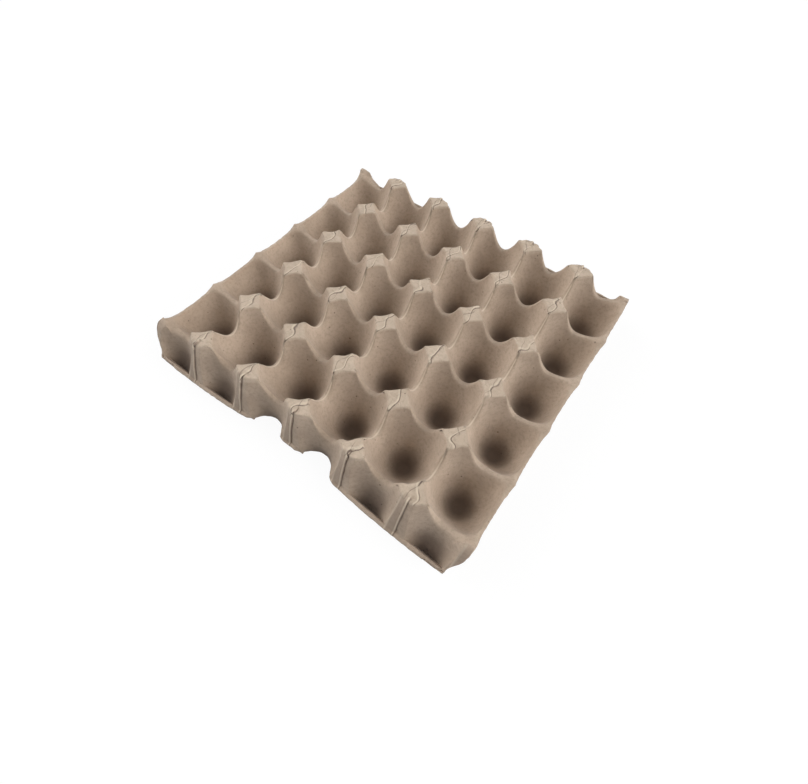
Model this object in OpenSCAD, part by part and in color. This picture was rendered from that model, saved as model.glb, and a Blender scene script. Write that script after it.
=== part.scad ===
// Moulded pulp egg tray: thirty cups in six columns and five rows, in one piece.
// Millimetres, +Z up, the origin at the middle of the underside.
// The pulp is one sheet. Its upper face (grow = 0) and its underside (grow = wall) are
// laid on the same net: every cup is four rings round its centre, the outer ring runs
// along the ridges, and the long edges and end walls close the net.

/* [Tray] */
// Distance between neighbouring cups
pitch = 49; // [46:0.5:54]
// Cups along X
columns = 6; // [2:1:6]
// Cups along Y
rows = 5; // [1:1:5]
// Height of the post tops above the ground
height = 46; // [43:0.5:54]
// Thickness of the pulp
wall = 2; // [1.4:0.1:2.6]

/* [Cups] */
// Width of the flat top of a post, across its flats
post_flat = 13.3; // [11:0.1:15]
// Drop from a post top to the saddle between two posts
saddle_drop = 17.6; // [15:0.1:20]
// Half of the width of the soft ridge between two cups
ridge_half = 2.2; // [1.4:0.1:2.6]
// Drop from a saddle to the foot of the soft ridge
ridge_soft = 4; // [3:0.1:5]
// Height at which the tapering bowl meets the steeper wall above it
bowl_height = 27; // [25:0.5:30]
// Radius of the flat floor of a cup
floor_radius = 8.5; // [7:0.5:10]

/* [Long edges] */
// Distance from the outer posts to the outside of the lip
edge_reach = 22; // [20.5:0.1:23]
// Distance from the middle of an outer post to its sloping outer face
strip_top = 4.2; // [3:0.1:5.5]
// Half of the width of the sloping outer face
strip_half = 6; // [5:0.1:7]
// Drop from the post tops to the lip
lip_drop = 31.4; // [29:0.1:33]
// Width of the flat lip
lip_width = 3.5; // [2.5:0.1:4.5]
// Depth of a half cup below the lip
pocket_depth = 7.5; // [5:0.1:9]
// Radius of the finger notches beside the middle post
notch_radius = 13.2; // [10:0.1:14]

/* [End walls] */
// Distance from the outer cups to the outside of the end wall
end_reach = 23.2; // [22:0.1:24.2]
// Drop from the post tops to the low stretches of the rim
rim_drop = 13; // [11:0.1:15]
// Height of the rim bumps above the low stretches
rim_bump = 3; // [1:0.1:4]
// Lean of the end walls in degrees
draft = 11; // [7:0.5:13]
// Distance by which the lip stops short of the end walls
corner_cut = 9; // [6:0.5:11]

/* [Bow] */
// Distance by which the middle of the front edge is pushed in
bow_in = 5; // [0:0.5:6]
// Height by which the middle of the front edge is lifted
bow_up = 2.5; // [0:0.5:4]

/* [Build] */
// Sub-part to draw

/* [Hidden] */
half_x = (columns - 1) / 2 * pitch;
half_y = (rows - 1) / 2 * pitch;
half_pitch = pitch / 2;
cup_top = pitch / sqrt(2) - post_flat / 2;
saddle_z = height - saddle_drop;
saddle_r = half_pitch - ridge_half;
cup_lean = atan((cup_top - saddle_r) / saddle_drop);
ridge_lean = atan((cup_top - half_pitch) / saddle_drop);
bowl_lean = atan((steep_r(bowl_height, 0) - floor_radius) / (bowl_height - wall));
lip_z = height - lip_drop;
rim_z = height - rim_drop;
strip_y = half_pitch - strip_top;
edge_y = half_pitch - edge_reach;
lip_y = edge_y + lip_width;
strip_lean = atan((strip_y - lip_y) / lip_drop);
pocket_z = lip_z - pocket_depth;
lip_rise = 2;
last_i = 8 * columns;
last_j = 8 * rows + 10;
tray_colour = [0.66, 0.58, 0.50];

// Radius of the steep upper wall of a cup at height z.
function steep_r(z, grow) = saddle_r + (z - saddle_z) * tan(cup_lean) + grow / cos(cup_lean);

// Radius of a cup at height z: the tapering bowl, then the steep wall.
function cup_r(z, grow) =
    min(steep_r(z, grow), floor_radius + (z - wall) * tan(bowl_lean) + grow / cos(bowl_lean));

// Height of the ridge between two cups, at a distance from its saddle.
function crest_z(side, grow) = saddle_z + (norm([half_pitch, side]) - half_pitch) / tan(ridge_lean) - grow;

// X of an end wall at height z. The upper face lies one wall inside the underside.
function wall_x(z, grow) = end_reach - (wall - grow) / cos(draft) - (rim_z - z) * tan(draft);

// Y of the sloping outer face of a long edge at height z.
function slope_y(z, grow) = lip_y + (z - lip_z) * tan(strip_lean) + grow / cos(strip_lean);

// Sizes between a and b.
function mix(a, b, f) = a + (b - a) * f;

// Point of ring s in the eighth of a cup next to its axis, t steps round the ring.
function eighth(s, t, grow) =
    s == 0 ? [0, 0, wall - grow] :
    s == 1 ? turned(cup_r(wall - grow, grow), 45 * t, wall - grow) :
    s == 2 ? let (z = mix(wall, bowl_height, 0.5) - grow) turned(cup_r(z, grow), 22.5 * t, z) :
    s == 3 ? let (z = ring_z(t, grow)) turned(cup_r(z, grow), 15 * t, z) :
    ridge(t, grow);

// Point at a radius and angle.
function turned(r, angle, z) = [r * cos(angle), r * sin(angle), z];

// Height of the third ring: below the saddle beside it, up to the post top at the corner.
function ring_z(t, grow) = mix(saddle_z - ridge_soft, height, pow(t / 3, 2)) - grow;

// Point of the outer ring, from the saddle to the post corner and the post centre.
function ridge(t, grow) =
    let (corner = sqrt(pow(cup_top, 2) - pow(half_pitch, 2)))
    let (side = t == 4 ? half_pitch : corner * [0, 0.43, 0.76, 1][t] + (t == 3 ? grow : 0))
    [half_pitch, side, t > 2 ? height - grow : crest_z(side, grow)];

// Point of a cup for net steps a and b from its centre.
function cup_point(a, b, grow) =
    let (p = eighth(max(abs(a), abs(b)), min(abs(a), abs(b)), grow))
    abs(a) >= abs(b) ? [sign(a) * p[0], sign(b) * p[1], p[2]] : [sign(a) * p[1], sign(b) * p[0], p[2]];

// Half cup toward an end wall: steps a from the centre to the wall, b along it.
function end_point(a, b, grow) =
    let (s = max(a, abs(b)))
    s < 2 ? cup_point(a, b, grow) :
    s == 2 ? let (p = cup_point(a, b, grow)) [min(p[0], wall_x(p[2], grow)), p[1], p[2]] :
    s == 3 ? end_ring(a, b, grow) :
    a == 4 ? [wall_x(rim_z, grow), half_pitch * b / 4, rim_z + rim_bump * pow(abs(b) / 4, 3)] :
    end_crest(a, b, grow);

// Third ring of a half cup at an end wall, flattened along the wall.
function end_ring(a, b, grow) =
    let (z = saddle_z - ridge_soft - grow + 3 * pow(min(a, abs(b)) / 3, 2))
    let (side = half_pitch - 5 + grow / 2)
    a == 3 ? [wall_x(z, grow), side * b / 3, z] :
    [wall_x(z, grow) * a / 3, sign(b) * mix(cup_r(z, grow), side, pow(a / 3, 2)), z];

// Crest between two half cups at an end wall, rising from the saddle to the rim.
function end_crest(a, b, grow) =
    let (rise = pow(a / 4, grow > 0 ? 2 : 1.5))
    [wall_x(rim_z, grow) * a / 4, sign(b) * half_pitch, mix(crest_z(0, grow), rim_z + rim_bump, rise)];

// Height of row b on the sloping outer face.
function slope_z(b, grow) = mix(lip_z, height, min(max(b / 3, 0), 1)) - grow;

// Half cup of a long edge: steps a across, row b from the lip (-1) to the posts (3).
function pocket_point(a, b, grow, notch) =
    let (n = abs(a))
    let (p = n > 2 ? strip_point(n, b, grow) : notch ? notch_point(n, b, grow) : hollow_point(n, b, grow))
    [sign(a) * p[0], p[1], p[2]];

// Point of the sloping outer face and the lip below it.
function strip_point(n, b, grow) =
    let (z = slope_z(b, grow))
    [n == 4 ? half_pitch : half_pitch - strip_half + grow, b < 0 ? edge_y : slope_y(z, grow), z];

// Height and radius of the back wall of a half cup, just above the lip.
function back_z(grow) = lip_z + lip_rise - grow / 2;
function back_r(grow) = min(cup_r(back_z(grow), grow), cup_r(back_z(0), 0) + grow);

// Point of the hollow of a half cup.
function hollow_point(n, b, grow) =
    let (reach = half_pitch - strip_half + grow)
    b == 3 ? let (p = eighth(3, n, grow)) [p[1], p[0], p[2]] :
    b == 2 ? turned_y(back_r(grow), 26 * n, back_z(grow)) :
    b == 1 ? [0.3 * reach * n, lip_y + 5 - 0.4 * n * n, pocket_z - grow + 1.1 * n * n] :
    b == 0 ? [0.44 * reach * n, lip_y - grow, lip_z - grow] :
    [0.46 * reach * n, edge_y, lip_z - grow];

// Point at a radius and an angle from Y.
function turned_y(r, angle, z) = [r * sin(angle), r * cos(angle), z];

// Point of a half cup whose front is cut by a finger notch.
function notch_point(n, b, grow) =
    let (back = hollow_point(n, 2, grow))
    let (arc = turned_y(notch_radius, 40 * n, 0))
    let (front = [arc[0], edge_y + arc[1], pocket_z + 4 - 1.2 * n - grow])
    b > 1 ? hollow_point(n, b, grow) :
    n < 2 ? mix(back, front, (2 - b) / 3) :
    b == 1 ? [notch_radius + 1.5 + grow, lip_y + 4, lip_z - 4 - grow] :
    [notch_radius + (b + 1) * 0.6, b == 0 ? lip_y : edge_y, lip_z - grow];

// Half cup in a tray corner: steps a toward the end wall, row b as in a long edge.
function corner_point(a, b, grow) =
    let (stop = end_reach - corner_cut)
    a == 4 ? corner_edge(b, grow) :
    b == 3 ? let (p = end_ring(a, 3, grow)) [p[0], a == 3 ? p[1] - 1 : p[1], p[2]] :
    b == 2 ? let (p = turned_y(back_r(grow), 24 * a, back_z(grow) + a * a / 3)) [0.88 * p[0], p[1], p[2]] :
    b == 1 ? [(0.27 * stop + grow / 4) * a, lip_y + 5 - 0.4 * a * a / 2, pocket_z - grow + a * a / 4] :
    b == 0 ? [0.27 * stop * a, lip_y - (a < 3 ? grow : 0), lip_z - grow] :
    [0.26 * stop * a, edge_y, lip_z - grow];

// Free edge of the sheet in a tray corner, from the lip up to the end of the rim.
function corner_edge(b, grow) =
    let (stop = end_reach - corner_cut)
    let (top = rim_z + rim_bump + 1)
    let (x = wall_x(rim_z, grow))
    b == 3 ? [x, slope_y(top, 0) - 0.5, top] :
    b == 2 ? [x - 1, slope_y(mix(lip_z, top, 0.75), 0), mix(lip_z, top, 0.75)] :
    b == 1 ? [x - 0.4 * corner_cut + 1, slope_y(mix(lip_z, top, 0.4), 0), mix(lip_z, top, 0.4)] :
    b == 0 ? [stop + 1 + grow / 2, lip_y, lip_z + 1 - grow] :
    [stop - 0.5, edge_y + 0.3, lip_z - grow];

// Net point i, j of the flat sheet, before the bow.
function net_point(i, j, grow) =
    let (k = min(floor(i / 8), columns - 1))
    let (a = i - 8 * k - 4)
    let (out = k == columns - 1 && a > 0 ? 1 : k == 0 && a < 0 ? -1 : 0)
    let (x = k * pitch - half_x)
    j < 5 ? let (p = edge_point(k, a, out, j - 1, grow)) [x + p[0], p[1] - half_y - pitch, p[2]] :
    j > last_j - 5 ?
        let (p = edge_point(k, a, out, last_j - j - 1, grow))
        [x + p[0], half_y + pitch - p[1], p[2]] :
    let (m = min(floor((j - 5) / 8), rows - 1))
    let (b = j - 5 - 8 * m - 4)
    let (p = out == 0 ? cup_point(a, b, grow) : mirrored(end_point(abs(a), b, grow), out))
    [x + p[0], m * pitch - half_y + p[1], p[2]];

// Point of a long edge in column k.
function edge_point(k, a, out, b, grow) =
    out == 0 ? pocket_point(a, b, grow, abs(k - (columns - 1) / 2) < 1) :
    mirrored(corner_point(abs(a), b, grow), out);

// Point mirrored in X for the end at -X.
function mirrored(p, out) = [out * p[0], p[1], p[2]];

// Point moved by the bow of the front edge.
function bowed(p) =
    let (along = exp(-pow(p[0] / (1.2 * pitch), 2)))
    let (near = pow(max(0, -p[1] - half_y) / (half_pitch + edge_reach), 2))
    [p[0], p[1] + bow_in * along * near, p[2] + bow_up * along * near];

// All points of one face of the sheet, row by row.
function face_points(grow) = [
    for (j = [0 : last_j], i = [0 : last_i])
        bowed(net_point(i, j, grow))
];

// Number of a net point in its face.
function index(i, j) = j * (last_i + 1) + i;

// Two triangles of a net square, cut along the line that points at its cup centre.
function square_faces(i, j, base, flip) =
    let (p = base + index(i, j))
    let (q = base + index(i + 1, j))
    let (r = base + index(i + 1, j + 1))
    let (s = base + index(i, j + 1))
    let (radial = (i % 8 < 4) == ((j + 3) % 8 < 4))
    let (cut = radial ? [[p, r, q], [p, s, r]] : [[p, s, q], [q, s, r]])
    flip ? [for (f = cut) [f[0], f[2], f[1]]] : cut;

// Faces that join the two sides of the sheet along a list of border points.
function border_faces(path, base) = [
    for (n = [0 : len(path) - 2])
        each [
            [path[n], path[n + 1], base + path[n]],
            [path[n + 1], base + path[n + 1], base + path[n]]
        ]
];

module tray() {
    count = (last_i + 1) * (last_j + 1);
    border = concat(
        [for (i = [0 : last_i]) index(i, 0)],
        [for (j = [1 : last_j]) index(last_i, j)],
        [for (i = [1 : last_i]) index(last_i - i, last_j)],
        [for (j = [1 : last_j]) index(0, last_j - j)]
    );
    squares = [for (j = [0 : last_j - 1], i = [0 : last_i - 1]) [i, j]];
    color(tray_colour)
        polyhedron(
            points = concat(face_points(0), face_points(wall)),
            faces = concat(
                [for (s = squares) each square_faces(s[0], s[1], 0, false)],
                [for (s = squares) each square_faces(s[0], s[1], count, true)],
                border_faces(border, count)
            ),
            convexity = 10
        );
}

tray();
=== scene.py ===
"""Looks of a moulded pulp egg tray: one fibrous sheet with thirty cups, on a pale studio floor."""
import logging
import math
from dataclasses import dataclass, field
from enum import Enum
from functools import lru_cache
from typing import Any, Callable

import bmesh
import bpy
from mathutils import Matrix, Vector, noise


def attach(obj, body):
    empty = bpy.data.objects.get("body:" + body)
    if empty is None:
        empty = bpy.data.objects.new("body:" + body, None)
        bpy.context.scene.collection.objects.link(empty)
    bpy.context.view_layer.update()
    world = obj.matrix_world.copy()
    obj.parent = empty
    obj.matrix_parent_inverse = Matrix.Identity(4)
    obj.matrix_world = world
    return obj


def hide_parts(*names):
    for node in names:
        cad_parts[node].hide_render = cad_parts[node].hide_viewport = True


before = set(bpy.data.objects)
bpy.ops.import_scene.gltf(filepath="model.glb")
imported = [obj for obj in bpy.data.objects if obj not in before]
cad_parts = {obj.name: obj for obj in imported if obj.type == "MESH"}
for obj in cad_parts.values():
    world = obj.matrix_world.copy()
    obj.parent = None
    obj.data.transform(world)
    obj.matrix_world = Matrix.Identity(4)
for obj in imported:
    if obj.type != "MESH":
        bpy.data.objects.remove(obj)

LOG = logging.getLogger("egg_tray")
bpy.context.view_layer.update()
MM = 0.001
Point = tuple[float, float, float]
Plan = tuple[float, float]
Colour = tuple[float, float, float, float]
WHITE: Colour = (1.0, 1.0, 1.0, 1.0)


def mix(a: float, b: float, f: float) -> float:
    """Return the value a share f of the way from a to b."""
    return a + (b - a) * f


def ease(f: float) -> float:
    """Return f held between 0 and 1 with soft ends."""
    f = min(max(f, 0.0), 1.0)
    return f * f * (3 - 2 * f)


def soft_min(a: float, b: float, k: float) -> float:
    """Return the smaller of a and b, blended where they are within k of each other."""
    h = max(k - abs(a - b), 0.0) / k
    return min(a, b) - h * h * k / 4


class Side(Enum):
    """Face of the pulp sheet."""

    UPPER = "upper"
    UNDER = "under"


class Hollow(Enum):
    """Kind of half cup along a long edge."""

    POCKET = "pocket"
    NOTCH = "notch"


@dataclass(frozen=True)
class CupForm:
    """Round cup between four posts, in millimetres from its centre."""

    pitch: float = 49.0
    height: float = 46.0
    wall: float = 2.0
    brim: float = 27.6
    saddle_r: float = 22.3
    saddle_z: float = 28.4
    floor_r: float = 9.3
    bowl_z: float = 27.0
    crest_flare: float = 0.199
    soft_saddle: float = 5.5
    soft_top: float = 1.3
    bottom: float = 4.2
    bottom_z: float = 11.0
    wall_blend: float = 1.5
    top_blend: float = 3.0

    @property
    def half(self) -> float:
        """Half of the distance between two cups."""
        return self.pitch / 2

    @property
    def flare(self) -> float:
        """Growth of the steep wall's radius with height."""
        return (self.brim - self.saddle_r) / (self.height - self.saddle_z)

    def steep(self, z: float, grow: float) -> float:
        """Return the radius of the steep wall at a height."""
        return self.brim - (self.height - z) * self.flare + grow * math.hypot(1, self.flare)

    def radius(self, z: float, grow: float, floor_r: float, floor_z: float) -> float:
        """Return the radius of a cup or half cup at a height.

        Args:
            z: Height above the ground.
            grow: 0 for the upper face, the wall for the underside.
            floor_r: Radius that the bowl tapers to just above the ground.
            floor_z: Height of the floor.

        Returns:
            The radius of the tapering bowl or of the steeper wall above it.
        """
        taper = (self.steep(self.bowl_z, 0.0) - floor_r) / (self.bowl_z - self.wall)
        bowl = floor_r + (z - self.wall) * taper + grow * math.hypot(1, taper)
        bowl -= self.bottom * max(0.0, 1 - (z - floor_z + grow) / self.bottom_z) ** 2
        return soft_min(self.steep(z, grow), bowl, self.wall_blend)

    def soft(self, z: float) -> float:
        """Return how far below a brim its rounding starts: far at a saddle, close at a post top."""
        share = ease((z - self.saddle_z) / (self.height - self.saddle_z))
        return mix(self.soft_saddle, self.soft_top, share)

    def crest(self, side: float) -> float:
        """Return the height of a ridge at a distance from the saddle, up to the post top."""
        rise = (math.hypot(self.half, side) - self.half) / self.crest_flare
        return soft_min(self.saddle_z + rise, self.height, self.top_blend)


@dataclass(frozen=True)
class EndForm:
    """Low wavy wall at each end of the tray, from the centre of the last cup."""

    reach: float = 23.2
    rim_z: float = 32.2
    bump: float = 4.8
    scallop: float = 0.4
    lean: float = 11.0
    lip_stop: float = 14.2
    wave_power: float = 3.4
    round_blend: float = 2.0

    @property
    def rim_top(self) -> float:
        """Height of the rim's bumps."""
        return self.rim_z + self.bump

    def wall_x(self, z: float, grow: float, wall: float) -> float:
        """Return the distance of the wall at a height."""
        lean = math.radians(self.lean)
        return self.reach - (wall - grow) / math.cos(lean) - (self.rim_z - z) * math.tan(lean)

    def wave(self, along: float, half: float) -> float:
        """Return 0 in the middle of a cup and 1 at the rim's bump beside it."""
        return min(abs(along) / half, 1.0) ** self.wave_power

    def rim(self, along: float, half: float) -> float:
        """Return the height of the rim at a distance from the middle of a cup."""
        return self.rim_z + self.bump * self.wave(along, half)


@dataclass(frozen=True)
class EdgeForm:
    """Long edge: sloping outer faces, half cups, a flat lip and two notches."""

    heart: float = 11.0
    floor: float = 5.4
    pocket_r: float = 11.4
    notch_r: float = 8.5
    toe: float = 9.0
    fillet: float = 0.9
    fold: float = 1.8
    strip_half: float = 6.3
    strip_y: float = 20.3
    lip_y: float = 4.8
    edge_y: float = 2.5
    lip_z: float = 14.6
    corner_rise: float = 1.65
    notch_x: float = 12.9
    notch_y: float = 14.8
    notch_drop: float = 2.1
    notch_flare: float = 2.6
    flare_depth: float = 0.5
    notch_foot: float = 1.2
    lip_round: float = 2.4
    lip_fall: float = 0.5
    corner_pull: float = 3.6
    pull_start: float = 3.0
    pull_span: float = 8.0
    corner_blend: float = 7.0
    end_blend: float = 3.0
    crest_blend: float = 1.2

    def floor_r(self, kind: Hollow) -> float:
        """Return the radius that a half cup tapers to just above the ground."""
        return self.pocket_r if kind is Hollow.POCKET else self.notch_r

    def pull(self, y: float) -> float:
        """Return how far the wall of a tray corner is drawn in at a depth."""
        return self.corner_pull * ease((self.heart + self.pull_start - y) / self.pull_span)

    def slope(self, y: float, grow: float, height: float) -> float:
        """Return the height of the sloping outer face."""
        steep = (height - self.lip_z) / (self.strip_y - self.lip_y)
        return height - (self.strip_y - y) * steep - grow * math.hypot(1.0, steep)

    def fold_at(self, side: float) -> float:
        """Return how far an outer face stands out beside its seam."""
        return self.fold * max(0.0, 1 - side / self.strip_half)

    def corner(self, y: float) -> float:
        """Return the height of the free edge in a tray corner."""
        return self.lip_z + (y - self.lip_y) * self.corner_rise

    def notch_half(self, y: float) -> float:
        """Return half of the width of a notch, wider towards the lip.

        Args:
            y: Depth behind the tray's edge line.

        Returns:
            The distance of the notch's edge from its middle.
        """
        part = min(max((y - self.edge_y) / self.notch_y, 0.0), 1.0)
        flare = self.notch_flare * max(0.0, 1 - part / self.flare_depth) ** 2
        return self.notch_x * math.sqrt(1 - part * part) + flare

    def notch_reach(self, way: Plan) -> float:
        """Return how far a notch is open from the heart of its half cup.

        Args:
            way: Direction in plan, of length 1.

        Returns:
            The distance to the notch's oval edge.
        """
        lift = self.heart - self.edge_y
        p = (way[0] / self.notch_x) ** 2 + (way[1] / self.notch_y) ** 2
        q = lift * way[1] / self.notch_y ** 2
        c = (lift / self.notch_y) ** 2 - 1
        return (-q + math.sqrt(q * q - p * c)) / p


@dataclass(frozen=True)
class Wear:
    """Bow of the front edge, sag of the sheet and uneven pulp, in millimetres."""

    bow_in: float = 5.6
    bow_up: float = 2.9
    bow_span: float = 56.0
    bow_depth: float = 46.5
    sag_across: float = -0.0035
    sag_along: float = 0.0047
    sag_twist: float = 0.0023
    uneven: float = 0.22
    ragged: float = 0.35
    seam: float = 0.42
    strip_rise: tuple[float, float, float] = (0.2, -2.0, 1.2)
    top_rise: float = 0.3
    ridge_rise: float = 1.1
    crumb: float = 0.5
    crumb_depth: float = 2.5
    wobble: float = 0.9
    bulge: float = 1.4
    thinned: float = 0.5
    seed: int = 7
    tip_up: float = 3.6
    tip_in: float = 2.6
    tip_span: float = 7.0


@dataclass(frozen=True)
class Ray:
    """Line in plan from the heart of a hollow to the border of its cell."""

    start: Plan
    way: Plan
    reach: float
    wall_at: Callable[[float], float]
    top_at: Callable[[float, float], float]
    floor: float
    slack: float
    soft: Callable[[float], float]

    def at(self, run: float) -> Plan:
        """Return the plan point at a distance along the ray."""
        return self.start[0] + run * self.way[0], self.start[1] + run * self.way[1]


@dataclass(eq=False)
class PulpTray:
    """The moulded sheet, laid on a grid whose rings follow every cup.

    The rings of a cup run up its wall to wall_ring, round its brim to brim_ring and over the
    ridge to the border of its cell. A notch is cut out up to gap_ring.
    """

    name: str = "pulp_sheet"
    columns: int = 6
    rows: int = 5
    steps: int = 17
    front: int = 9
    gap_ring: int = 5
    foot_ring: int = 7
    wall_ring: int = 10
    brim_ring: int = 14
    seam_half: float = 0.75
    slack: float = 0.25
    merge: float = 0.002
    sharp: float = 62.0
    cup: CupForm = field(default_factory=CupForm)
    end: EndForm = field(default_factory=EndForm)
    edge: EdgeForm = field(default_factory=EdgeForm)
    wear: Wear = field(default_factory=Wear)

    def build(self) -> bpy.types.Object:
        """Build the sheet as a closed mesh.

        Returns:
            The object, linked to the scene.
        """
        across = 2 * self.steps * self.columns
        along = 2 * self.steps * self.rows + 2 * (self.front + self.steps)
        noise.seed_set(self.wear.seed)
        bm = bmesh.new()
        bmesh.ops.create_grid(bm, x_segments=across, y_segments=along, size=1.0)
        place = {v: (round((v.co.x + 1) / 2 * across), round((v.co.y + 1) / 2 * along))
                 for v in bm.verts}
        cut = [v for v, (i, j) in place.items() if self.in_notch(i, j, along)]
        bmesh.ops.delete(bm, geom=cut, context="VERTS")
        place = {v: ij for v, ij in place.items() if v.is_valid}
        copy = bmesh.ops.duplicate(bm, geom=bm.verts[:] + bm.edges[:] + bm.faces[:])
        twin = copy["vert_map"]
        under = {twin[v]: ij for v, ij in place.items()}
        faces = [f for f in copy["geom"] if isinstance(f, bmesh.types.BMFace)]
        bmesh.ops.reverse_faces(bm, faces=faces)
        rim = [e for e in bm.edges if e.is_boundary]
        for side, spots in ((Side.UPPER, place), (Side.UNDER, under)):
            for v, (i, j) in spots.items():
                v.co = Vector(self.wear_and_edge_highlight(self.sheet_point(i, j, along, side), v.is_boundary)) * MM
        for v in place:
            if v.is_boundary:
                v.co = v.co.lerp(twin[v].co, self.wear.thinned)
        bmesh.ops.bridge_loops(bm, edges=rim)
        bmesh.ops.recalc_face_normals(bm, faces=bm.faces)
        if bm.calc_volume(signed=True) < 0:
            bmesh.ops.reverse_faces(bm, faces=bm.faces)
        self.press_seams(bm, place, along)
        bmesh.ops.remove_doubles(bm, verts=bm.verts, dist=self.merge * MM)
        for f in bm.faces:
            f.smooth = True
        mesh = bpy.data.meshes.new(self.name)
        bm.to_mesh(mesh)
        bm.free()
        mesh.set_sharp_from_angle(angle=math.radians(self.sharp))
        piece = bpy.data.objects.new(self.name, mesh)
        bpy.context.scene.collection.objects.link(piece)
        LOG.info("%s: %d faces", self.name, len(mesh.polygons))
        return piece

    def press_seams(self, bm: bmesh.types.BMesh, place: dict[bmesh.types.BMVert, tuple[int, int]],
                    along: int) -> None:
        """Raise a thin line along the ridges, press a groove down the outer faces and roughen the tops.

        Args:
            bm: Mesh of the sheet with its normals.
            place: Grid lines of the points of the upper face.
            along: Number of the last grid line along Y.
        """
        bm.normal_update()
        cell = 2 * self.steps
        spots = {ij: v for v, ij in place.items()}
        moves = []
        for v, (i, j) in place.items():
            off = (i + 1) % cell - 1
            edge = min(j, along - j)
            at = v.co / MM
            if off in (-1, 0, 1) and 1 < i < cell * self.columns - 1 and edge >= 3:
                seam, right = spots[i - off, j], spots[i - off + 1, j]
                room = min((right.co - seam.co).length / MM / self.seam_half, 1.0)
                wave = 1 + 0.8 * noise.noise(at / 9 + Vector((0, 0, 40)))
                if edge < self.front + self.steps:
                    rise = self.wear.strip_rise[off]
                elif off:
                    rise = 0.0
                else:
                    on_top = at.z > 0.92 * self.cup.height
                    rise = self.wear.top_rise if on_top else self.wear.ridge_rise
                moves.append((v, v.normal * self.wear.seam * rise * room * wave))
            if at.z > self.cup.height - self.wear.crumb_depth:
                crumb = noise.noise(at / 3.4) + 0.6 * noise.noise(at / 1.7)
                moves.append((v, v.normal * crumb * self.wear.crumb))
        for v, move in moves:
            v.co += move * MM

    def column(self, i: int) -> tuple[int, int]:
        """Return the cup column of a grid line and its steps from the middle of that column."""
        k = min(i // (2 * self.steps), self.columns - 1)
        return k, i - 2 * self.steps * k - self.steps

    def hollow(self, k: int) -> Hollow:
        """Return the kind of half cup in a column."""
        return Hollow.NOTCH if abs(k - (self.columns - 1) / 2) < 1 else Hollow.POCKET

    def in_notch(self, i: int, j: int, along: int) -> bool:
        """Return whether a grid point lies in the opening of a notch.

        Args:
            i: Grid line along X.
            j: Grid line along Y.
            along: Number of the last grid line along Y.

        Returns:
            True where the sheet is cut away.
        """
        k, a = self.column(i)
        b = min(j, along - j) - self.front
        return self.hollow(k) is Hollow.NOTCH and abs(a) < self.gap_ring and b < self.gap_ring

    def sheet_point(self, i: int, j: int, along: int, side: Side) -> Point:
        """Return the place of a grid point before wear.

        Args:
            i: Grid line along X.
            j: Grid line along Y.
            along: Number of the last grid line along Y.
            side: Face of the sheet.

        Returns:
            The point in millimetres.
        """
        grow = self.cup.wall if side is Side.UNDER else 0.0
        k, a = self.column(i)
        outer = 1 if k == self.columns - 1 and a > 0 else -1 if k == 0 and a < 0 else 0
        x0 = (k - (self.columns - 1) / 2) * self.cup.pitch
        y0 = (self.rows - 1) / 2 * self.cup.pitch
        strip = self.front + self.steps
        back = along - j
        if min(j, back) < strip:
            b = min(j, back) - self.front
            x, y, z = self.edge_point(abs(a), b, grow, outer != 0, self.hollow(k))
            y = y - y0 - self.cup.pitch
            y = y if j < back else -y
        else:
            m = min((j - strip) // (2 * self.steps), self.rows - 1)
            b = j - strip - 2 * self.steps * m - self.steps
            x, y, z = self.cup_point(abs(a), abs(b), grow, outer != 0)
            y = m * self.cup.pitch - y0 + math.copysign(y, b)
        return x0 + math.copysign(x, a), y, z

    @lru_cache(maxsize=None)
    def cup_point(self, a: int, b: int, grow: float, outer: bool) -> Point:
        """Return a point of a cup.

        Args:
            a: Grid steps from its centre along X.
            b: Grid steps from its centre along Y.
            grow: 0 for the upper face, the wall for the underside.
            outer: Whether it lies in the outer half of an end cup.

        Returns:
            The point in millimetres from the cup's centre.
        """
        ring = max(a, b)
        if ring == 0:
            return 0.0, 0.0, self.cup.wall - grow
        ray = self.end_ray(a, b, grow) if outer else self.cup_ray(a, b, grow)
        return self.ring_point(ring, ray)

    def cup_ray(self, a: int, b: int, grow: float) -> Ray:
        """Return the ray through a grid point of an inner cup.

        Args:
            a: Grid steps from its centre along X.
            b: Grid steps from its centre along Y.
            grow: 0 for the upper face, the wall for the underside.

        Returns:
            The ray to the border of the cup's square cell.
        """
        half = self.cup.half
        turn = math.radians(45 * min(a, b) / max(a, b))
        tip = (half, half * math.tan(turn)) if a >= b else (half * math.tan(turn), half)
        reach = math.hypot(*tip)
        side = 1 if a >= b else 0
        return Ray(
            (0.0, 0.0), (tip[0] / reach, tip[1] / reach), reach,
            lambda z: self.cup.radius(z, grow, self.cup.floor_r, self.cup.wall),
            lambda x, y: self.cup.crest((x, y)[side]) - grow,
            self.cup.wall - grow, self.slack, self.cup.soft)

    def end_ray(self, a: int, b: int, grow: float) -> Ray:
        """Return the ray through a grid point of the outer half of an end cup.

        Args:
            a: Grid steps from its centre along X.
            b: Grid steps from its centre along Y.
            grow: 0 for the upper face, the wall for the underside.

        Returns:
            The ray to the wavy rim, or to the ridge between two end cups.
        """
        half = self.cup.half
        top_x = self.end.wall_x(self.end.rim_top, grow, self.cup.wall)
        corner = math.atan2(half, top_x)
        if a >= b:
            turn = corner * b / a
            x = top_x
            for _ in range(4):
                y = x * math.tan(turn)
                x = self.end.wall_x(self.end.rim(y, half), grow, self.cup.wall)
                x -= self.end.scallop * (1 - self.end.wave(y, half))
            tip = (x, x * math.tan(turn))
        else:
            tip = (half * math.tan((math.pi / 2 - corner) * a / b), half)
        reach = math.hypot(*tip)
        way = (tip[0] / reach, tip[1] / reach)

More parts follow.
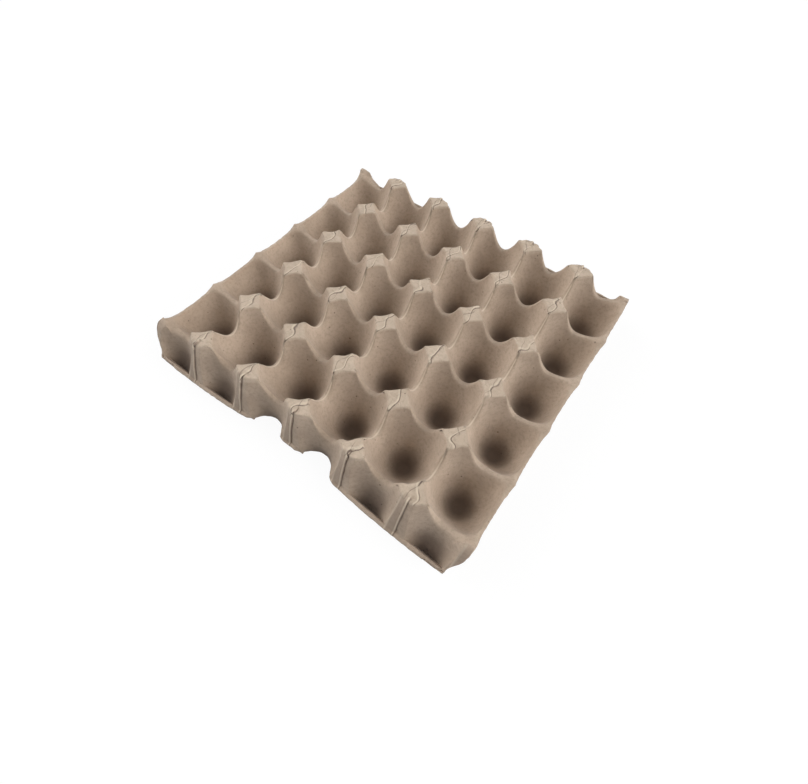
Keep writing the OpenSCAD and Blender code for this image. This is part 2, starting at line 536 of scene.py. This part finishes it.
        def top_at(x: float, y: float) -> float:
            """Return the height of the rim or of the crest beside it.

            Args:
                x: Distance from the cup's centre along X.
                y: Distance from the cup's centre along Y.

            Returns:
                The height of the sheet's face there.
            """
            if a >= b:
                return self.end.rim(y, half) - grow * min(y / half, 1.0) ** 3
            return self.end_crest(x / top_x) - grow

        return Ray((0.0, 0.0), way, reach, lambda z: self.end_section(z, way, grow), top_at,
                   self.cup.wall - grow, self.slack if b > a else 0.0, self.cup.soft)

    def end_crest(self, share: float) -> float:
        """Return the height of a ridge a share of the way from its saddle to the end's rim."""
        return mix(self.cup.saddle_z, self.end.rim_top, min(share, 1.0) ** 1.5)

    def end_section(self, z: float, way: Plan, grow: float) -> float:
        """Return the distance of the wall of an end cup, round below and squarer above.

        Args:
            z: Height above the ground.
            way: Direction in plan, of length 1.
            grow: 0 for the upper face, the wall for the underside.

        Returns:
            The distance from the cup's centre.
        """
        wide = self.cup.radius(z, grow, self.cup.floor_r, self.cup.wall)
        deep = soft_min(wide, self.end.wall_x(z, grow, self.cup.wall), self.end.round_blend)
        power = 2 + 1.6 * ease((z - 8) / 22)
        return ((abs(way[0]) / deep) ** power + (abs(way[1]) / wide) ** power) ** (-1 / power)

    def ring_point(self, ring: int, ray: Ray) -> Point:
        """Return the point of a ring on a ray: floor, bowl, wall, soft brim and top.

        Args:
            ring: Number of the ring, from 1 to the steps of a cup.
            ray: Ray from the heart of the hollow.

        Returns:
            The point in millimetres from the heart's cell.
        """
        cup = self.cup
        limit = ray.reach - ray.slack
        low, high = ray.floor, cup.height + 2
        for _ in range(26):
            z = (low + high) / 2
            run = ray.wall_at(z)
            under = run < limit + 1e-6 and z < ray.top_at(*ray.at(min(run, ray.reach)))
            low, high = (z, high) if under else (low, z)
        brim_z = low
        brim = min(ray.wall_at(brim_z), limit)
        full = brim > limit - 0.01
        tip_z = ray.top_at(*ray.at(ray.reach))
        if full and ray.slack:
            tip_z = min(tip_z, brim_z)
        gap = ray.reach - brim
        tight = min(max(0.0, 0.6 - gap), 0.2 * (brim_z - ray.floor))
        drop = min(ray.soft(brim_z), 0.5 * (brim_z - ray.floor))
        turn = max(1.0, 0.45 * drop)
        z1 = brim_z - 2 * tight
        z0 = z1 - drop
        run1 = min(ray.wall_at(z1), limit)
        run2 = run1 if tight else brim + min(0.5 * gap, turn)
        if ring <= self.wall_ring:
            z = mix(ray.floor, z0, ((ring - 1) / (self.wall_ring - 1)) ** 1.3)
            run = min(ray.wall_at(z), limit)
        elif ring <= self.brim_ring:
            f = (ring - self.wall_ring) / (self.brim_ring - self.wall_ring)
            z2 = z1 if tight else ray.top_at(*ray.at(run2))
            if full and not tight:
                z2 = min(z2, tip_z)
            run0 = min(ray.wall_at(z0), limit)
            run = run0 * (1 - f) ** 2 + 2 * run1 * f * (1 - f) + run2 * f * f
            z = z0 * (1 - f) ** 2 + 2 * z1 * f * (1 - f) + z2 * f * f
        else:
            rest = ray.reach - run2
            lead = min(self.seam_half, 0.45 * rest)
            f = (0.5 * (rest - lead), rest - lead, rest)[ring - self.brim_ring - 1] / max(rest, 1e-6)
            run = mix(run2, ray.reach, f)
            z = mix(z1, tip_z, f) if tight else min(ray.top_at(*ray.at(run)), max(tip_z, brim_z))
        x, y = ray.at(run)
        return x, y, z

    @lru_cache(maxsize=None)
    def edge_point(self, a: int, b: int, grow: float, outer: bool, kind: Hollow) -> Point:
        """Return a point of a long edge: rings of the half cup, then the front rows and the lip.

        Args:
            a: Grid steps from the middle of the half cup along X.
            b: Grid steps behind the heart of the half cup, less than 0 in front of it.
            grow: 0 for the upper face, the wall for the underside.
            outer: Whether it runs towards an end of the tray.
            kind: Kind of half cup.

        Returns:
            The point in millimetres from the middle of the half cup's edge.
        """
        if b < 0:
            return self.front_point(a, -b, grow, outer, kind)
        ring = max(a, b)
        if ring == 0:
            return 0.0, self.edge.heart, self.edge.floor - grow
        ray = self.edge_ray(a, b, grow, outer, kind)
        if kind is Hollow.NOTCH and ring <= self.wall_ring:
            return self.notch_point(ring, ray, grow)
        return self.ring_point(ring, ray)

    def edge_ray(self, a: int, b: int, grow: float, outer: bool, kind: Hollow) -> Ray:
        """Return the ray through a grid point of a half cup behind its heart.

        Args:
            a: Grid steps from the middle of the half cup along X.
            b: Grid steps behind its heart.
            grow: 0 for the upper face, the wall for the underside.
            outer: Whether it runs towards an end of the tray.
            kind: Kind of half cup.

        Returns:
            The ray to the seam, the free corner edge or the ridge of the posts.
        """
        half, heart = self.cup.half, self.edge.heart
        if a >= b:
            y = mix(heart, half, b / a)
            tip = (self.corner_x(y, grow) if outer else half, y)
        elif outer:
            tip = (half * math.tan(math.atan2(self.corner_x(half, grow), half) * a / b), half)
        else:
            tip = (half * math.tan(math.radians(45 * a / b)), half)
        return self.hollow_ray((0.0, heart), tip, grow, outer, b > a, self.edge.floor - grow, kind)

    def corner_x(self, y: float, grow: float) -> float:
        """Return the distance of the free corner edge or of the rim behind it."""
        high = soft_min(self.end.rim_top, self.edge.corner(y), self.edge.corner_blend)
        return self.end.wall_x(high, grow, self.cup.wall) - self.edge.pull(y)

    def hollow_ray(self, start: Plan, tip: Plan, grow: float, outer: bool, ridge: bool,
                   floor: float, kind: Hollow) -> Ray:
        """Return a ray in a half cup.

        Args:
            start: Plan point the ray starts from.
            tip: Plan point it ends at.
            grow: 0 for the upper face, the wall for the underside.
            outer: Whether it runs towards an end of the tray.
            ridge: Whether it ends on the ridge of the posts.
            floor: Height of the hollow's floor at the start.
            kind: Kind of half cup.

        Returns:
            The ray with its wall and its top.
        """
        reach = math.hypot(tip[0] - start[0], tip[1] - start[1])
        way = ((tip[0] - start[0]) / reach, (tip[1] - start[1]) / reach)
        cup, edge, end = self.cup, self.edge, self.end

        def wall_at(z: float) -> float:
            """Return the distance of the hollow's wall.

            Args:
                z: Height above the ground.

            Returns:
                The distance from the start of the ray.
            """
            near = start[1] * way[1]
            wide = cup.radius(z, grow, edge.floor_r(kind), edge.floor)
            run = -near + math.sqrt(max(near * near + wide ** 2 - start[1] ** 2, 0.04))
            if outer and way[0] > 0.05:
                inside = end.wall_x(z, grow, cup.wall) - edge.pull(start[1])
                run = soft_min(run, inside / way[0], edge.end_blend)
            return run

        def top_at(x: float, y: float) -> float:
            """Return the height of the edge above the hollow.

            Args:
                x: Distance from the middle of the half cup.
                y: Depth behind the tray's edge line.

            Returns:
                The height of the sheet's face there.
            """
            if outer:
                crest = self.end_crest(x / self.corner_x(y, grow)) - grow if ridge else end.rim_top
                return soft_min(crest, edge.corner(y), edge.corner_blend)
            fold = edge.fold_at(cup.half - x) * ease((y - edge.lip_y) / 6)
            slope = edge.slope(y + fold, grow, cup.height)
            return soft_min(cup.crest(x) - grow, slope, edge.crest_blend)

        slack = 0.0 if outer and not ridge else self.slack
        soft = cup.soft if ridge else lambda z: edge.fillet
        return Ray(start, way, reach, wall_at, top_at, floor, slack, soft)

    def notch_point(self, ring: int, ray: Ray, grow: float) -> Point:
        """Return a point between the cut edge of a notch and the wall behind it.

        Args:
            ring: Number of the ring, from the cut edge to the end of the wall.
            ray: Ray from the heart of the half cup.
            grow: 0 for the upper face, the wall for the underside.

        Returns:
            The point in millimetres from the middle of the half cup's edge.
        """
        edge = self.edge
        if ray.start[1] < edge.heart:
            run = edge.notch_half(ray.start[1])
        else:
            run = edge.notch_reach(ray.way)
        y = ray.at(run)[1]
        z = edge.lip_z - edge.notch_drop * (y - edge.edge_y) / edge.notch_y
        far_z = self.ring_point(self.wall_ring + 1, ray)[2]
        foot_run = max(ray.wall_at(z + edge.notch_foot), run + 0.4)
        z = min(z, far_z - 2 + grow)
        if ring <= self.foot_ring:
            f = (ring - self.gap_ring) / (self.foot_ring - self.gap_ring)
            x, y = ray.at(mix(run, foot_run, f))
            return x, y, z - grow + edge.notch_foot * f * f
        f = (ring - self.foot_ring) / (self.wall_ring + 1 - self.foot_ring)
        z1 = mix(z + edge.notch_foot, far_z, f) - grow * (1 - f)
        x, y = ray.at(max(ray.wall_at(z1 + grow * (1 - f)), foot_run))
        return x, y, z1

    def front_point(self, a: int, m: int, grow: float, outer: bool, kind: Hollow) -> Point:
        """Return a point of the front rows, from the heart of a half cup to the lip.

        Args:
            a: Grid steps from the middle of the half cup.
            m: Rows in front of the heart.
            grow: 0 for the upper face, the wall for the underside.
            outer: Whether it runs towards an end of the tray.
            kind: Kind of half cup.

        Returns:
            The point in millimetres.
        """
        edge, half = self.edge, self.cup.half
        last = self.front - 2
        if m < last:
            y = mix(edge.heart, edge.lip_y, 1 - (1 - m / last) ** 1.6)
            rise = ease((edge.toe - y) / (edge.toe - edge.lip_y))
            floor = mix(edge.floor, edge.lip_z, rise) - grow
            tip = (self.corner_x(y, grow) if outer else half, y)
            ray = self.hollow_ray((0.0, y), tip, grow, outer, False, floor, kind)
            if a == 0:
                x, z = 0.0, floor
            elif kind is Hollow.NOTCH and a <= self.wall_ring:
                x, _, z = self.notch_point(a, ray, grow)
            else:
                x, _, z = self.ring_point(a, ray)
            y -= grow * rise * (1 - ease((z - floor) / 4)) if kind is Hollow.POCKET else 0.0
            return x, y, z
        f = (m - last) / 2
        side = self.steps - a
        x = half - (0.0, self.seam_half)[side] if side < 2 else (half - 2) * a / (self.steps - 2)
        near, far = edge.lip_y - grow, edge.edge_y
        if outer:
            x = self.end.lip_stop * a / self.steps
            taper = ease((a - self.wall_ring - 1) / 6)
            far = mix(far + 0.9, edge.lip_y - 0.7, taper)
            near = mix(near, edge.lip_y - 0.1, taper)
        else:
            inner = near if kind is Hollow.POCKET else edge.lip_y
            near = mix(inner, edge.lip_y + 0.63 * grow, ease((a - self.wall_ring) / 3))
        past = a - self.gap_ring
        if kind is Hollow.NOTCH:
            far += edge.lip_round * max(0.0, 1 - past / 6) ** 2
        y = mix(near, far, f)
        if kind is Hollow.NOTCH and side > 1:
            x = mix(edge.notch_half(y), half - 2, past / (self.steps - 2 - self.gap_ring))
        return x, y, edge.lip_z - grow - edge.lip_fall * f * f

    def wear_and_edge_highlight(self, p: Point, free: bool) -> Point:
        """Return a point moved by the bow, the sag and the uneven pulp.

        Args:
            p: Point of the flat sheet.
            free: Whether the point lies on the cut edge.

        Returns:
            The moved point in millimetres.
        """
        x, y, z = p
        wear, pitch = self.wear, self.cup.pitch
        reach = (self.rows - 1) / 2 * pitch
        along = math.exp(-((x / wear.bow_span) ** 2))
        near = (max(0.0, -y - reach) / wear.bow_depth) ** 2
        u, v = x / pitch, y / pitch
        sag = wear.sag_across * (u * u - 2) + wear.sag_along * (v * v - 3) + wear.sag_twist * u * v
        sag *= pitch * (z / self.cup.height) ** 2
        bump = noise.noise(Vector((x, y, z)) / 17) + 0.6 * noise.noise(Vector((x, y, z)) / 6)
        y += wear.bow_in * along * near
        z += wear.bow_up * along * near + sag
        z += wear.uneven * bump * ease(z / 6)
        top = wear.wobble * ease((z - 38) / 6)
        x += top * noise.noise(Vector(p) / 6.5)
        y += top * noise.noise(Vector(p) / 6.5 + Vector((31, 0, 0)))
        tip_x, tip_y = reach + 0.97 * pitch, reach + 0.58 * pitch
        away = ((abs(x) - tip_x) ** 2 + (y - tip_y) ** 2) / (2 * wear.tip_span ** 2)
        peak = math.exp(-away) * ease((z - 24) / 10)
        if x < 0:
            z += wear.tip_up * peak
            x -= wear.bulge * math.exp(-((y + tip_y + 7) / 8) ** 2) * ease((-x - 128) / 14)
        else:
            x -= wear.tip_in * peak
        if free:
            rag = noise.noise_vector(Vector((x, y, z)) / 3.1) * wear.ragged
            x, y, z = x + rag.x, y + rag.y, z + rag.z
        return x, y, z


class Field:
    """Socket of a shader node that reads as a number in an expression."""

    def __init__(self, graph: "Graph", socket: bpy.types.NodeSocket) -> None:
        """Keep the graph and the socket."""
        self.graph = graph
        self.socket = socket

    def math(self, operation: str, *others: Any) -> "Field":
        """Return a Math node's result for this value and others."""
        values = dict(enumerate((self, *others)))
        return self.graph.node("ShaderNodeMath", {"operation": operation}, values)

    def __add__(self, other: Any) -> "Field":
        """Add."""
        return self.math("ADD", other)

    def __radd__(self, other: Any) -> "Field":
        """Add to a number."""
        return self.math("ADD", other)

    def __sub__(self, other: Any) -> "Field":
        """Subtract."""
        return self.math("SUBTRACT", other)

    def __rsub__(self, other: float) -> "Field":
        """Subtract from a number."""
        return self.graph.node("ShaderNodeMath", {"operation": "SUBTRACT"}, {0: other, 1: self})

    def __mul__(self, other: Any) -> "Field":
        """Multiply."""
        return self.math("MULTIPLY", other)

    def __rmul__(self, other: Any) -> "Field":
        """Multiply a number."""
        return self.math("MULTIPLY", other)

    def __truediv__(self, other: Any) -> "Field":
        """Divide."""
        return self.math("DIVIDE", other)

    def above(self, low: float, high: float) -> "Field":
        """Return 0 below low, 1 above high and a soft step between."""
        return self.graph.node("ShaderNodeMapRange", {"interpolation_type": "SMOOTHSTEP"},
                               {"Value": self, "From Min": low, "From Max": high})

    def below(self, low: float, high: float) -> "Field":
        """Return 1 below low, 0 above high and a soft step between."""
        return 1 - self.above(low, high)

    def between(self, rise: Plan, fall: Plan) -> "Field":
        """Return a band that comes in over the two values of rise and goes out over those of fall."""
        return self.above(*rise) * self.below(*fall)


class Graph:
    """Node tree of one material or world."""

    def __init__(self, tree: bpy.types.NodeTree) -> None:
        """Empty the tree."""
        self.tree = tree
        tree.nodes.clear()

    def node(self, kind: str, settings: dict[str, Any], inputs: dict[Any, Any], out: Any = 0) -> Field:
        """Add a node.

        Args:
            kind: Type of the node.
            settings: Properties, set before the sockets.
            inputs: Values or fields by socket name or number.
            out: Name or number of the output to return.

        Returns:
            The chosen output.
        """
        made = self.tree.nodes.new(kind)
        for key, value in settings.items():
            setattr(made, key, value)
        for key, value in inputs.items():
            if isinstance(value, Field):
                self.tree.links.new(value.socket, made.inputs[key])
            else:
                made.inputs[key].default_value = value
        return Field(self, made.outputs[out] if len(made.outputs) else None)

    def blend(self, share: Field, a: Any, b: Any) -> Field:
        """Return a colour mixed from a to b."""
        return self.node("ShaderNodeMix", {"data_type": "RGBA"}, {0: share, 6: a, 7: b}, 2)

    def noise(self, place: Field, scale: float, detail: float, **more: float) -> Field:
        """Return a noise texture of a scale per metre."""
        values = {"Vector": place, "Scale": scale, "Detail": detail, **more}
        return self.node("ShaderNodeTexNoise", {}, values, "Fac")


@dataclass(frozen=True)
class PulpFinish:
    """Rough grey-brown pulp with fibres, specks and pressed seams; painted shade darkens its cup and
    pocket floors, folds, creases and seam grooves, and painted highlights lighten its post tops, ridges
    and edges.
    """

    name: str = "raw_pulp"
    pale: Colour = (0.53, 0.416, 0.321, 1.0)
    base: Colour = (0.448, 0.346, 0.262, 1.0)
    dark: Colour = (0.30, 0.235, 0.175, 1.0)
    # light colour of the painted highlights on tops, ridges, seams and edges, also standing for fuzzy
    # fibre
    fuzz_and_highlight: Colour = (0.70, 0.59, 0.46, 1.0)
    # dark colour of the painted shade in floors, folds, creases and seam grooves
    deep: Colour = (0.14, 0.10, 0.077, 1.0)
    speck: Colour = (0.10, 0.075, 0.055, 1.0)
    pitch: float = 0.049
    roughness: float = 0.92
    specular: float = 0.25
    sheen: float = 0.12
    sheen_roughness: float = 0.6
    bump: float = 0.35
    bump_depth: float = 0.0009

    def material(self) -> bpy.types.Material:
        """Make the material.

        Returns:
            A node material on object coordinates.
        """
        made = bpy.data.materials.new(self.name)
        made.use_nodes = True
        g = Graph(made.node_tree)
        place = g.node("ShaderNodeTexCoord", {}, {}, "Object")
        cloud = g.noise(place, 38.0, 4.0, Roughness=0.6)
        grain = g.noise(place, 420.0, 5.0, Roughness=0.7)
        fibre = g.noise(place, 1500.0, 3.0, Roughness=0.7, Distortion=1.5)
        rare = g.noise(place, 95.0, 2.0)
        curl = g.noise(place, 210.0, 1.5, Distortion=0.7)
        sway = g.noise(place, 85.0, 0.0)
        spots = g.node("ShaderNodeTexVoronoi", {"feature": "F1"},
                       {"Vector": place, "Scale": 160.0, "Randomness": 1.0}, "Distance")
        across = g.node("ShaderNodeSeparateXYZ", {}, {0: place}, "X") / self.pitch
        up = g.node("ShaderNodeSeparateXYZ", {}, {0: place}, "Z")
        out = g.node("ShaderNodeSeparateXYZ", {}, {0: place}, "Y").math("ABSOLUTE")

        # post tops, outer faces of the long edges, and millimetres from the nearest seam
        top = up.above(0.0438, 0.0452)
        face = out.above(0.1235, 0.1265)
        offset = (across - across.math("ROUND")) * (self.pitch / MM)
        apart = offset.math("ABSOLUTE")

        # seams: painted shade as dark cracks and painted highlights as light lines on the ridges; on
        # the faces a painted highlight on the ridge beside the painted shadow of a groove
        middle = apart.below(0.25, 0.85)
        crack_shade = middle * up.above(0.036, 0.041) * (1 - top) * rare.above(0.5, 0.56)
        groove = crack_shade * 0.5 + face * offset.between((0.0, 0.35), (0.7, 1.3)) * 0.8
        # band along the edges of each outer face: a painted highlight on the left edge, also standing
        # for fuzzy frayed fibre
        wear_and_edge_highlight = (apart + up * 55 - 7.9).math("ABSOLUTE").below(0.3, 1.1)
        line = middle * (1 - face) * (1 - top) * 0.6
        line = line + face * wear_and_edge_highlight * offset.below(-3.0, 0.0) * 0.5
        line = line + face * offset.between((-1.3, -0.8), (-0.2, 0.1)) * 0.6

        # curved folds and fine creases on the post tops, with painted shade in them and a painted
        # highlight beside each fold
        crease = (curl - 0.5).math("ABSOLUTE").below(0.0, 0.045) * top
        bent = offset - (sway - 0.5) * 13 - 0.6
        fold = top * bent.between((-0.15, 0.2), (0.5, 1.1)) * rare.above(0.34, 0.5)
        lift = top * bent.between((-2.0, -0.9), (-0.35, 0.0))
        pleat = offset + (sway - 0.5) * 10 + 1.9
        second = top * pleat.between((-0.15, 0.15), (0.4, 0.9)) * cloud.above(0.42, 0.52)

        # painted shade: darker floors of the cups and pockets, and the lower part and the left half of
        # each outer face
        pocket_shade = face * out.below(0.139, 0.1405) * apart.above(8.0, 20.0) * up.below(0.007, 0.028)
        shade = up.below(0.0, 0.0135) * (1 - face) * 0.92 + pocket_shade * 0.75
        shade = shade + face * up.below(0.03, 0.045) * 0.15
        shade = shade + face * offset.between((-7.5, -6.0), (-1.2, -0.6)) * 0.25
        fleck = spots.below(0.05, 0.13) * rare.above(0.52, 0.62)

        colour = g.blend(cloud.above(0.35, 0.68), self.base, self.pale)
        colour = g.blend(grain.above(0.42, 0.72) * 0.5, colour, self.dark)
        # painted highlights: lighter post tops, the lit side of each fold, and the light lines on
        # ridges, seams and the left edge of each outer face
        colour = g.blend(top * 0.25 + lift * 0.5 + line, colour, self.fuzz_and_highlight)
        # painted shade in the seam grooves, cracks, creases and folds
        fold_and_groove_shade = groove * 0.85 + crease * 0.1 + fold * 0.8 + second * 0.45
        colour = g.blend(fold_and_groove_shade, colour, self.deep)
        # painted shade in the cup and pocket floors and on the outer faces
        colour = g.blend(shade, colour, self.deep)
        colour = g.blend(fleck * 0.8, colour, self.speck)
        height = grain * 0.55 + fibre * 0.25 + cloud * 0.8 - fleck * 0.5 - crease * 1.2
        height = height - (fold + second * 0.7 - lift) * 2.5
        bump = g.node("ShaderNodeBump", {}, {
            "Strength": self.bump, "Distance": self.bump_depth, "Height": height}, "Normal")
        pulp = g.node("ShaderNodeBsdfPrincipled", {}, {
            "Base Color": colour, "Roughness": self.roughness, "Normal": bump,
            "Specular IOR Level": self.specular, "Sheen Weight": self.sheen,
            "Sheen Roughness": self.sheen_roughness}, "BSDF")
        g.node("ShaderNodeOutputMaterial", {}, {"Surface": pulp})
        return made


@dataclass(frozen=True)
class Studio:
    """Pale floor, soft light and the camera of the photograph."""

    floor_size: float = 5.0
    floor_drop: float = 0.0004
    floor_colour: Colour = (0.45, 0.45, 0.45, 1.0)
    floor_share: float = 0.86
    floor_glow: float = 1.1
    sensor: float = 36.0
    image: tuple[int, int] = (808, 784)
    focal_px: float = 442.08
    eye: Point = (0.13933, -0.19906, 0.31327)
    right: Point = (0.8034494, 0.59484563, 0.02505464)
    down: Point = (0.52107054, -0.68219832, -0.51292391)
    ahead: Point = (-0.28801831, 0.42516364, -0.85806837)
    boxes: tuple[tuple[float, float, float], ...] = (
        (45, 32, 3.5), (45, 52, 0.9), (0, 32, 2.2), (0, 12, 3.2),
        (180, 32, 3.9), (180, 12, 1.8), (225, 32, 2.6))
    box_focus: float = 14.0

    def camera(self) -> bpy.types.Object:
        """Set up the camera.

        Returns:
            The camera, made the scene's own.
        """
        data = bpy.data.cameras.new("camera")
        data.sensor_width = self.sensor
        data.lens = self.focal_px * self.sensor / self.image[0]
        data.clip_start, data.clip_end = 0.01, 50.0
        made = bpy.data.objects.new("camera", data)
        axes = Matrix((self.right, [-v for v in self.down], [-v for v in self.ahead])).transposed()
        made.matrix_world = Matrix.Translation(Vector(self.eye)) @ axes.to_4x4()
        bpy.context.scene.collection.objects.link(made)
        bpy.context.scene.camera = made
        return made

    def floor(self) -> bpy.types.Object:
        """Build the floor.

        Returns:
            The floor.
        """
        bm = bmesh.new()
        bmesh.ops.create_grid(bm, x_segments=4, y_segments=4, size=self.floor_size / 2)
        mesh = bpy.data.meshes.new("floor")
        bm.to_mesh(mesh)
        bm.free()
        made = bpy.data.objects.new("floor", mesh)
        made.location.z = -self.floor_drop
        bpy.context.scene.collection.objects.link(made)
        paint = bpy.data.materials.new("white_floor")
        paint.use_nodes = True
        g = Graph(paint.node_tree)
        seen = g.node("ShaderNodeLightPath", {}, {}, "Is Camera Ray")
        plain = g.node("ShaderNodeBsdfDiffuse", {}, {"Color": self.floor_colour}, "BSDF")
        glow = g.node("ShaderNodeEmission", {}, {
            "Color": WHITE, "Strength": self.floor_glow}, "Emission")
        both = g.node("ShaderNodeMixShader", {}, {0: seen * self.floor_share, 1: plain, 2: glow})
        g.node("ShaderNodeOutputMaterial", {}, {"Surface": both})
        mesh.materials.append(paint)
        return made

    def light(self) -> None:
        """Set up the soft lights and the pale surroundings."""
        scene = bpy.context.scene
        world = bpy.data.worlds.new("surroundings")
        scene.world = world
        world.use_nodes = True
        g = Graph(world.node_tree)
        turn = g.node("ShaderNodeTexCoord", {}, {}, "Generated")
        glow = 0.0
        for turned, lifted, strength in self.boxes:
            flat = math.cos(math.radians(lifted))
            way = (flat * math.cos(math.radians(turned)), flat * math.sin(math.radians(turned)),
                   math.sin(math.radians(lifted)))
            towards = g.node(
                "ShaderNodeVectorMath", {"operation": "DOT_PRODUCT"}, {0: turn, 1: way}, "Value")
            glow = towards.math("MAXIMUM", 0.0).math("POWER", self.box_focus) * strength + glow
        sky = g.node("ShaderNodeBackground", {}, {"Color": WHITE, "Strength": glow}, "Background")
        white = g.node("ShaderNodeBackground", {}, {"Color": WHITE, "Strength": 1.0}, "Background")
        seen = g.node("ShaderNodeLightPath", {}, {}, "Is Camera Ray")
        both = g.node("ShaderNodeMixShader", {}, {0: seen, 1: sky, 2: white})
        g.node("ShaderNodeOutputWorld", {}, {"Surface": both})


def main() -> None:
    """Build the tray and its studio and report each piece."""
    logging.basicConfig(level=logging.INFO, format="%(name)s: %(message)s")
    bpy.context.scene.view_settings.view_transform = "Standard"
    studio = Studio()
    studio.camera()
    studio.floor()
    studio.light()
    sheet = PulpTray().build()
    sheet.data.materials.append(PulpFinish().material())
    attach(sheet, "root")
    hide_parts("tray")
    bpy.context.view_layer.update()


if __name__ == "__main__":
    main()
